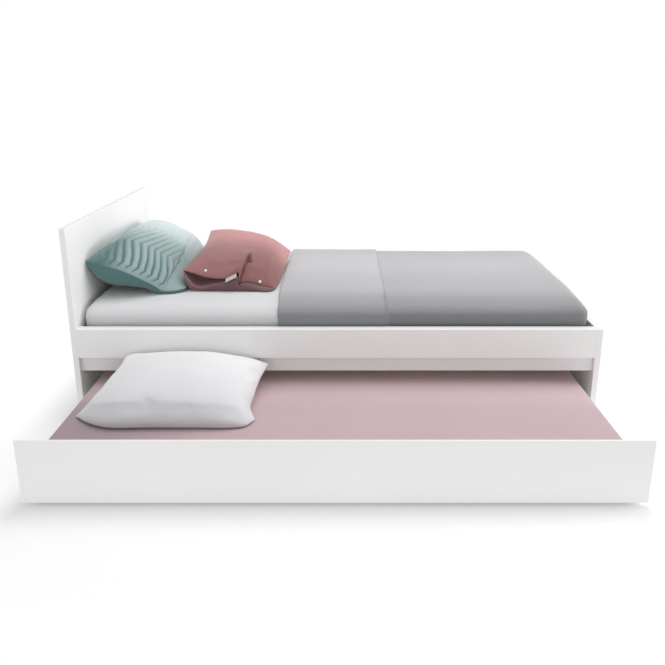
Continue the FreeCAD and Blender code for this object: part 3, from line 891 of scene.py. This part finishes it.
def pink_pillow():
    """The pink pillow lying against the teal one, with its open buttoned end to the front."""
    form = dict(PILLOW, size=(0.40, 0.50), thick=(0.051, 0.11), blunt=(2.4, 3.4), seed=8.0)
    form.update(counts=(48, 48))
    top, bottom = puffed(form)
    cloth = [g * (1, 1, 0) for g in (top, bottom)]
    far = [(-0.622, 0.50, 0.611), (-0.558, 0.515, 0.610), (-0.466, 0.515, 0.600), (-0.367, 0.505, 0.580),
           (-0.300, 0.48, 0.555), (-0.231, 0.45, 0.520)]
    left = [UPPER_HEM[0], (-0.636, 0.12, 0.556), (-0.627, 0.25, 0.560), (-0.623, 0.38, 0.572), far[0]]
    right = [UPPER_HEM[-1], (-0.252, 0.10, 0.487), (-0.245, 0.21, 0.494), (-0.238, 0.33, 0.502), far[-1]]
    u, v = (top[..., 0] / 0.20, top[..., 1] / 0.25)
    # the crease that rises from the hem, and the small folds to its right
    before = np.exp(-((u - CREASE) / 0.20) ** 2)
    after = -0.35 * np.exp(-((u - CREASE) / 0.10) ** 2)
    crease = np.where(u < CREASE, before, after)
    top[..., 2] += crease * (0.026 * np.exp(-((v + 1) / 0.30) ** 2) + 0.011 * smoothstep(-0.22, -0.5, v))
    pleat = smoothstep(CREASE, CREASE + 0.016, u) * smoothstep(-0.66, -0.62, v)
    pleat *= smoothstep(0.38, 0.28, u + 0.5 * (v + 0.6))
    top[..., 2] -= 0.007 * pleat * smoothstep(-0.40, -0.52, v)
    top[..., 2] -= 0.007 * np.exp(-((u - 0.66) / 0.06) ** 2 - ((v + 0.72) / 0.16) ** 2)
    # painted shade: darker towards the open end and to the right, in a line beside the crease, in the
    # pleat's hollow and over the underside
    tone = [0.59 * smoothstep(0.20, -0.12, g[..., 1]) for g in (top, bottom)]
    tone[0] += 0.15 * smoothstep(-0.2, 0.6, u)
    tone[0] += 0.36 * np.exp(-((u - 0.24) / 0.028) ** 2) * smoothstep(-0.25, -0.45, v) + 0.42 * pleat
    tone[1][...] = 0.64
    bottom[..., 2] *= 0.35 + 0.65 * smoothstep(-0.95, -0.45, bottom[..., 0] / 0.20)
    top = lay(top, form, (UPPER_HEM, far, left, right))
    bottom = lay(bottom, form, (LOWER_HEM, far, left, right))
    rest_on(top, 2, BED_TOP + 0.009, 1)
    rest_on(bottom, 2, BED_TOP + 0.0075, 1)
    buttons(top)
    tag(top)
    lining = mouth(top[:, 0], bottom[:, 0])
    # painted shade: the lining is darker and bluer where it turns back out over the inner flap
    lip = np.zeros(lining.shape[:2])
    lip[:, INSIDE:] = 1.0
    sheets = [(top, cloth[0], tone[0], 0), (bottom, cloth[1], tone[1], 0),
              (lining, np.stack([lining[..., 0], lining[..., 2], lining[..., 1] * 0], -1), lip, 1)]
    points, faces, places, deep, slots = [], [], [], [], []
    for number, (grid, place, tones, slot) in enumerate(sheets):
        n, m = grid.shape[:2]
        base = len(points)
        points += list(grid.reshape(-1, 3))
        places += list(place.reshape(-1, 3))
        deep += list(tones.ravel())
        for i in range(n - 1):
            for j in range(m - 1):
                a, b = base + i * m + j, base + (i + 1) * m + j
                ring = [a, b, b + 1, a + 1]
                faces.append(ring if number == 0 else ring[::-1])
                slots.append(slot)
    piece = make_piece("pink_button_pillow", points, faces, PINK_COVER.material, "bed_frame")
    piece.data.materials.append(PINK_INSIDE_SHADED.material)
    piece.data.polygons.foreach_set("material_index", slots)
    store_cloth(piece, places)
    store_painted_shade(piece, deep)
    weld(piece)
    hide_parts("pink_pillow")


def weld(piece):
    """Join the points that lie on each other, and face the skin outwards."""
    skin = bmesh.new()
    skin.from_mesh(piece.data)
    bmesh.ops.remove_doubles(skin, verts=skin.verts, dist=2e-5)
    bmesh.ops.dissolve_degenerate(skin, edges=skin.edges, dist=1e-6)
    bmesh.ops.recalc_face_normals(skin, faces=skin.faces)
    skin.to_mesh(piece.data)
    skin.free()


def seat(grid, u, v):
    """A place on a grid and the frame there: along, across and out."""
    n, m = grid.shape[:2]
    i, j = int(u * (n - 1)), int(v * (m - 1))
    i, j = min(max(i, 2), n - 3), min(max(j, 2), m - 3)
    along = grid[i + 2, j] - grid[i - 2, j]
    across = grid[i, j + 2] - grid[i, j - 2]
    out = np.cross(along, across)
    out /= np.linalg.norm(out)
    along /= np.linalg.norm(along)
    return grid[i, j], along, np.cross(out, along), out


def buttons(top):
    """Two shell buttons, each sewn on by a crossed thread."""
    profile = [(0.0, 0.0019), (0.0030, 0.0019), (0.0037, 0.0030), (0.0050, 0.0032), (0.0058, 0.0026),
               (0.0060, 0.0016), (0.0057, 0.0006), (0.0, 0.0004)]
    turns = 28
    thread_rings = 7
    points, faces = [], []
    for u, v in ((0.325, 0.13), (0.725, 0.095)):
        centre, along, across, out = seat(top, u, v)
        base = len(points)
        for radius, height in profile:
            for k in range(turns):
                angle = 2 * math.pi * k / turns
                way = along * math.cos(angle) + across * math.sin(angle)
                points.append(centre + way * radius + out * height)
        for ring in range(len(profile) - 1):
            for k in range(turns):
                a, b = base + ring * turns + k, base + ring * turns + (k + 1) % turns
                faces.append((a, a + turns, b + turns, b))
        for angle in (0.6, 0.6 + math.pi / 2):
            way = along * math.cos(angle) + across * math.sin(angle)
            side = np.cross(out, way) * 0.00045
            base = len(points)
            for s in np.linspace(-1, 1, thread_rings):
                middle = centre + way * s * 0.0024 + out * (0.0028 - 0.0012 * s ** 4)
                points += [middle + side, middle + out * 0.0005, middle - side, middle - out * 0.0006]
            for k in range(thread_rings - 1):
                for q in range(4):
                    a, b = base + 4 * k + q, base + 4 * k + (q + 1) % 4
                    faces.append((a, b, b + 4, a + 4))
            last = base + 4 * thread_rings - 1
            faces.append((base, base + 1, base + 2, base + 3))
            faces.append((last, last - 1, last - 2, last - 3))
    paint = PAINTS["white_button"]
    piece = make_piece("pink_pillow_buttons", points, faces, paint, "bed_frame")
    weld(piece)
    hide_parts("pillow_buttons")


def tag(top):
    """A blank cloth tag sewn under the upper hem."""
    count = top.shape[0]
    first, last = int(0.482 * count), int(0.550 * count)
    columns = []
    for s in np.linspace(0.0, 1.0, 15):
        edge = top[first, 0] * (1 - s) + top[last, 0] * s
        column = [edge + np.array([0.0, 0.010, -0.0022])]
        for t in np.linspace(0.0, 1.0, 9):
            column.append(edge + np.array([0.0, 0.002 - 0.010 * t, -0.0012 - 0.019 * t + 0.003 * t * t]))
        columns.append(column)
    outer = np.array(columns)
    inner = outer + np.array([0.0, 0.0009, -0.0004])
    points, faces = two_grids(outer, inner)
    piece = make_piece("pink_pillow_tag", points, faces, TAG_CLOTH.material, "bed_frame")
    weld(piece)
    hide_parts("pillow_tag")


# ---- stage, light and camera --------------------------------------------------------
def stage():
    """A pale floor that brightens to white away from the object."""
    mesh = bpy.data.meshes.new("floor")
    reach = 40.0
    corners = [(-reach, -reach, 0), (reach, -reach, 0), (reach, reach, 0), (-reach, reach, 0)]
    mesh.from_pydata(corners, [], [(0, 1, 2, 3)])
    floor = bpy.data.objects.new("floor", mesh)
    bpy.context.scene.collection.objects.link(floor)
    paint = Paint("pale_floor", (0.93, 0.93, 0.93), 0.9)
    paint.shader.inputs["Specular IOR Level"].default_value = 0.0
    paint.shader.inputs["Emission Color"].default_value = (1, 1, 1, 1)
    seen = paint.add("ShaderNodeLightPath").outputs["Is Camera Ray"]
    glow = paint.math("SUBTRACT", 0.22, paint.math("MULTIPLY", seen, 0.21))
    paint.join(glow, paint.shader.inputs["Emission Strength"])
    # how far a place is outside the object's own footprint
    size = paint.add("ShaderNodeVectorMath", operation="ABSOLUTE")
    paint.join(paint.place(), size.inputs[0])
    past = paint.add("ShaderNodeVectorMath", operation="SUBTRACT")
    past.inputs[1].default_value = (cad_high[0], cad_high[1], 0.0)
    paint.join(size.outputs[0], past.inputs[0])
    outside = paint.add("ShaderNodeVectorMath", operation="MAXIMUM")
    paint.join(past.outputs[0], outside.inputs[0])
    # past its ends the floor turns white sooner than in front of it
    ends = paint.add("ShaderNodeVectorMath", operation="MULTIPLY")
    ends.inputs[1].default_value = (1.9, 1.0, 1.0)
    paint.join(outside.outputs[0], ends.inputs[0])
    far = paint.add("ShaderNodeVectorMath", operation="LENGTH")
    paint.join(ends.outputs[0], far.inputs[0])
    near_to_far = paint.add("ShaderNodeMapRange")
    near_to_far.inputs["From Min"].default_value = 0.04
    near_to_far.inputs["From Max"].default_value = 0.42
    paint.join(far.outputs["Value"], near_to_far.inputs["Value"])
    white = paint.add("ShaderNodeEmission", Strength=1.0)
    mix = paint.add("ShaderNodeMixShader")
    paint.join(near_to_far.outputs["Result"], mix.inputs[0])
    paint.join(paint.shader.outputs[0], mix.inputs[1])
    paint.join(white.outputs[0], mix.inputs[2])
    paint.join(mix.outputs[0], paint.tree.nodes["Material Output"].inputs["Surface"])
    mesh.materials.append(paint.material)


def sky(strength):
    """Even studio light from all round; what the camera sees of it is plain white."""
    world = bpy.data.worlds.new("studio")
    world.use_nodes = True
    tree = world.node_tree
    light = tree.nodes["Background"]
    light.inputs["Color"].default_value = (1, 1, 1, 1)
    light.inputs["Strength"].default_value = strength
    seen = tree.nodes.new("ShaderNodeBackground")
    seen.inputs["Color"].default_value = (1, 1, 1, 1)
    path = tree.nodes.new("ShaderNodeLightPath")
    mix = tree.nodes.new("ShaderNodeMixShader")
    tree.links.new(path.outputs["Is Camera Ray"], mix.inputs[0])
    tree.links.new(light.outputs[0], mix.inputs[1])
    tree.links.new(seen.outputs[0], mix.inputs[2])
    tree.links.new(mix.outputs[0], tree.nodes["World Output"].inputs["Surface"])
    bpy.context.scene.world = world


def softbox(name, place, target, size, power):
    """A large soft lamp at a place, turned to its target."""
    lamp = bpy.data.lights.new(name, "AREA")
    lamp.shape = "RECTANGLE"
    lamp.size, lamp.size_y = size
    lamp.energy = power
    piece = bpy.data.objects.new(name, lamp)
    piece.location = place
    piece.rotation_euler = (Vector(target) - Vector(place)).to_track_quat("-Z", "Y").to_euler()
    piece.visible_camera = False
    bpy.context.scene.collection.objects.link(piece)


def lights():
    """An even sky, a large overhead light from behind, one from the right and a weak front fill."""
    sky(0.60)
    softbox("key", (0.9, 0.5, 4.6), (0.0, 0.0, 0.3), (3.2, 3.2), 119.0)
    softbox("side", (5.5, 0.3, 1.2), (-1.0, 0.0, 0.5), (3.0, 2.0), 112.0)
    softbox("fill", (0.0, -6.0, 1.5), (0.0, 0.0, 0.4), (6.0, 2.0), 35.0)


def camera():
    """The view from in front of the bed, a little above it."""
    lens = bpy.data.cameras.new("camera")
    lens.sensor_width = 36.0
    lens.lens = 33.55
    lens.shift_x = -0.01726
    lens.shift_y = -0.13646
    lens.clip_end = 100.0
    down = math.radians(14.032)
    eye = bpy.data.objects.new("camera", lens)
    eye.location = (0.028, -2.4533, 1.2925)
    eye.rotation_euler = (math.pi / 2 - down, 0, 0)
    bpy.context.scene.collection.objects.link(eye)
    bpy.context.scene.camera = eye
    bpy.context.scene.view_settings.view_transform = "Standard"


paint_frame()
stage()
lights()
camera()
main_mattress()
duvet()
duvet_fold()
trundle_mattress()
white_pillow()
teal_pillow()
pink_pillow()
